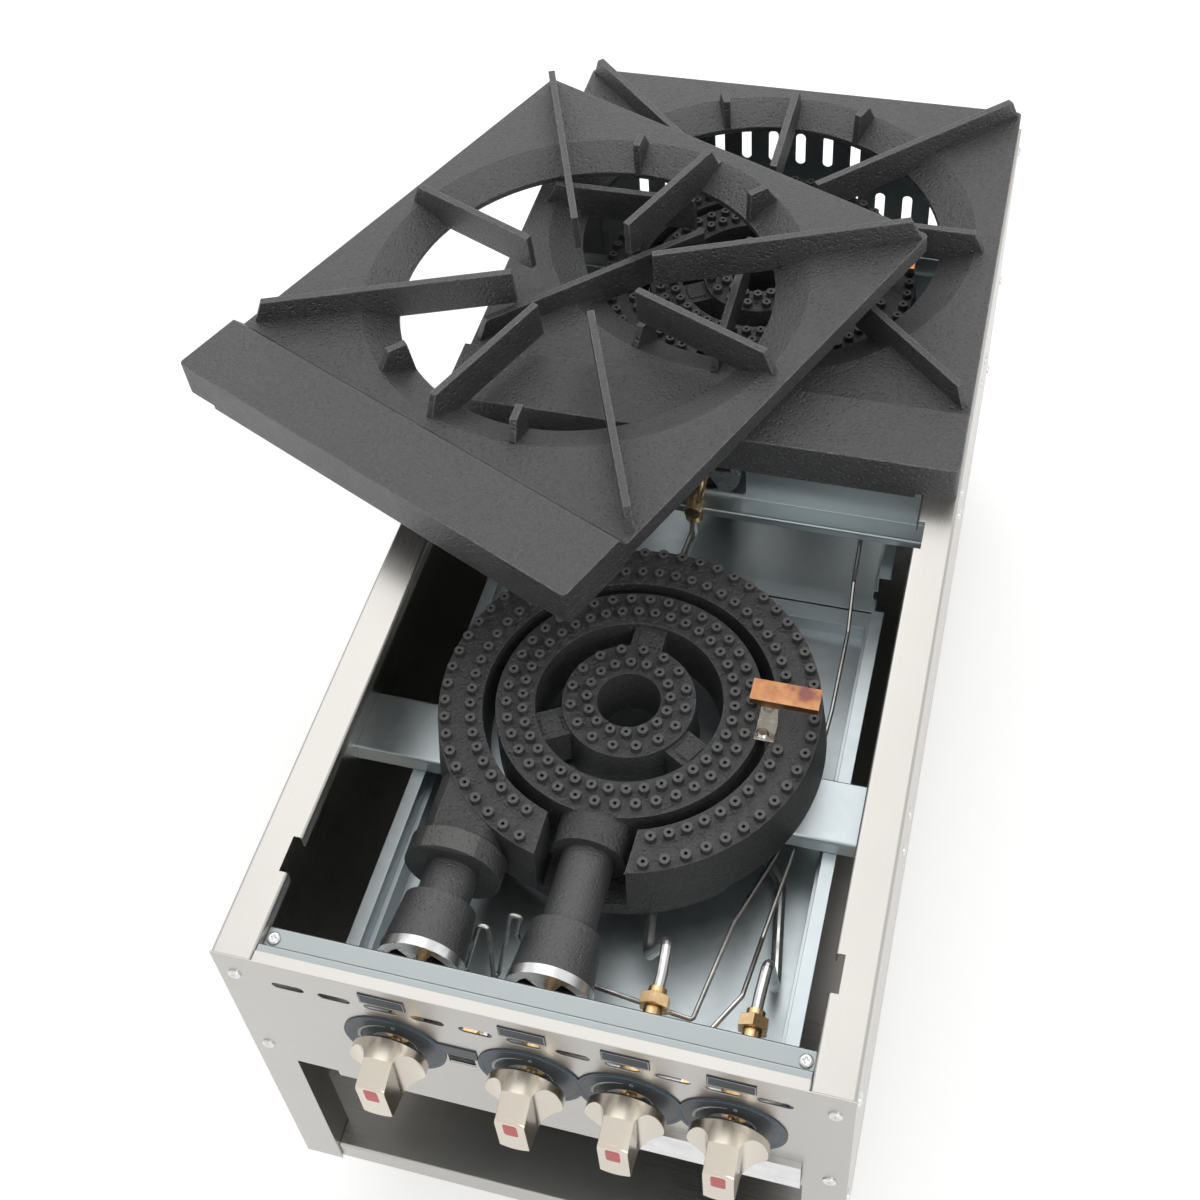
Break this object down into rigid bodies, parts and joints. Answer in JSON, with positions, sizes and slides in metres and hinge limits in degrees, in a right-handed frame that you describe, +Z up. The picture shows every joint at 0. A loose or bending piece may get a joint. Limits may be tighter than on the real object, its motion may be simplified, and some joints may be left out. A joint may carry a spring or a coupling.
{
  "type": "stock pot stove",
  "caption": "Low floor-standing gas range with ring burners in line, cast iron grates, drip trays, control knobs, an open lower shelf and screw-in feet.",
  "frame": {"origin": "on the floor, under the middle of the bounding box, the lifted front grate included", "axes": "+X to the right as seen from the front, +Y from the control panel to the back, +Z up; the cabinet's centre plane lies at X = +0.1136 m"},
  "size_m": [0.689, 1.118, 0.5657],
  "materials": {
    "stainless": "brushed stainless sheet",
    "galvanised": "galvanised sheet, bare zinc",
    "cast_iron": "sand-cast, matt",
    "grate_iron": "sand-cast, dark grey coat",
    "brass": "turned brass",
    "steel_pipe": "plain steel pipe",
    "tube": "dull aluminium tube",
    "zinc": "zinc-plated steel",
    "copper": "thin copper sheet, heat tinted",
    "bezel": "dark slate, matt",
    "label": "dark grey, matt",
    "knob": "warm brushed nickel",
    "foot": "dark grey",
    "nameplate": "satin"
  },
  "bodies": {
    "cabinet": {"side_panel_left": "stainless", "side_panel_right": "stainless", "front_panel": "stainless", "front_crossbar": "galvanised", "partition_rail": "galvanised", "back_panel": "galvanised", "base_shelf": "stainless", "front_tray": "galvanised", "rear_tray": "galvanised", "tray_rests": "galvanised", "front_burner_rail": "galvanised", "rear_burner_rail": "galvanised", "leg_sockets": "stainless", "bezel_plate": "bezel", "label_plates": "label", "nameplate": "nameplate", "valves": "brass", "manifold": "steel_pipe", "supply_pipe": "steel_pipe", "pipe_nuts": "brass", "inner_gas_pipe": "steel_pipe", "outer_gas_pipe": "steel_pipe", "rear_orifices": "brass", "pilot_valves": "brass", "front_pilot_tube": "tube", "rear_pilot_tube": "tube", "pilot_brackets": "zinc", "pilot_hoods": "copper", "front_outer_ring": "cast_iron", "front_inner_ring": "cast_iron", "rear_outer_ring": "cast_iron", "rear_inner_ring": "cast_iron", "front_outer_mixer": "cast_iron", "front_inner_mixer": "cast_iron", "rear_outer_mixer": "cast_iron", "rear_inner_mixer": "cast_iron", "panel_screws": "zinc", "side_screws": "zinc"},
    "knob_1": {"knob_1": "knob", "spindle_1": "brass"},
    "knob_2": {"knob_2": "knob", "spindle_2": "brass"},
    "knob_3": {"knob_3": "knob", "spindle_3": "brass"},
    "knob_4": {"knob_4": "knob", "spindle_4": "brass"},
    "front_outer_shutter": {"front_outer_shutter": "zinc"},
    "front_inner_shutter": {"front_inner_shutter": "zinc"},
    "rear_outer_shutter": {"rear_outer_shutter": "zinc"},
    "rear_inner_shutter": {"rear_inner_shutter": "zinc"},
    "foot_front_left": {"foot_front_left": "foot"},
    "foot_front_right": {"foot_front_right": "foot"},
    "foot_rear_left": {"foot_rear_left": "foot"},
    "foot_rear_right": {"foot_rear_right": "foot"},
    "rear_grate": {"rear_grate": "grate_iron", "rear_grate_ribs": "grate_iron"},
    "front_grate": {"front_grate": "grate_iron", "front_grate_ribs": "grate_iron"}
  },
  "joints": [
    {"name": "knob_1_turn", "type": "hinge", "parent": "cabinet", "child": "knob_1", "pos_m": [0.01137, -0.5215, 0.388], "axis": [0, -1, 0], "range_deg": [0, 90]},
    {"name": "knob_2_turn", "type": "hinge", "parent": "cabinet", "child": "knob_2", "pos_m": [0.11357, -0.5215, 0.388], "axis": [0, -1, 0], "range_deg": [0, 90]},
    {"name": "knob_3_turn", "type": "hinge", "parent": "cabinet", "child": "knob_3", "pos_m": [0.18657, -0.5215, 0.388], "axis": [0, -1, 0], "range_deg": [0, 90]},
    {"name": "knob_4_turn", "type": "hinge", "parent": "cabinet", "child": "knob_4", "pos_m": [0.25948, -0.5215, 0.388], "axis": [0, -1, 0], "range_deg": [0, 90]},
    {"name": "front_outer_air", "type": "hinge", "parent": "cabinet", "child": "front_outer_shutter", "pos_m": [0.00877, -0.4535, 0.388], "axis": [0, 1, 0], "range_deg": [0, 60]},
    {"name": "front_inner_air", "type": "hinge", "parent": "cabinet", "child": "front_inner_shutter", "pos_m": [0.10877, -0.4535, 0.388], "axis": [0, 1, 0], "range_deg": [0, 60]},
    {"name": "rear_outer_air", "type": "hinge", "parent": "cabinet", "child": "rear_outer_shutter", "pos_m": [0.00877, 0.0724, 0.388], "axis": [0, 1, 0], "range_deg": [0, 60]},
    {"name": "rear_inner_air", "type": "hinge", "parent": "cabinet", "child": "rear_inner_shutter", "pos_m": [0.10877, 0.0724, 0.388], "axis": [0, 1, 0], "range_deg": [0, 60]},
    {"name": "foot_front_left_level", "type": "slide", "parent": "cabinet", "child": "foot_front_left", "axis": [0, 0, 1], "range_m": [0, 0.012]},
    {"name": "foot_front_right_level", "type": "slide", "parent": "cabinet", "child": "foot_front_right", "axis": [0, 0, 1], "range_m": [0, 0.012]},
    {"name": "foot_rear_left_level", "type": "slide", "parent": "cabinet", "child": "foot_rear_left", "axis": [0, 0, 1], "range_m": [0, 0.012]},
    {"name": "foot_rear_right_level", "type": "slide", "parent": "cabinet", "child": "foot_rear_right", "axis": [0, 0, 1], "range_m": [0, 0.012]},
    {"name": "rear_grate_lift", "type": "slide", "parent": "cabinet", "child": "rear_grate", "axis": [0, 0, 1], "range_m": [0, 0.12]},
    {"name": "front_grate_lift", "type": "slide", "parent": "rear_grate", "child": "front_grate", "axis": [0, 0, 1], "range_m": [0, 0.12]}
  ]
}
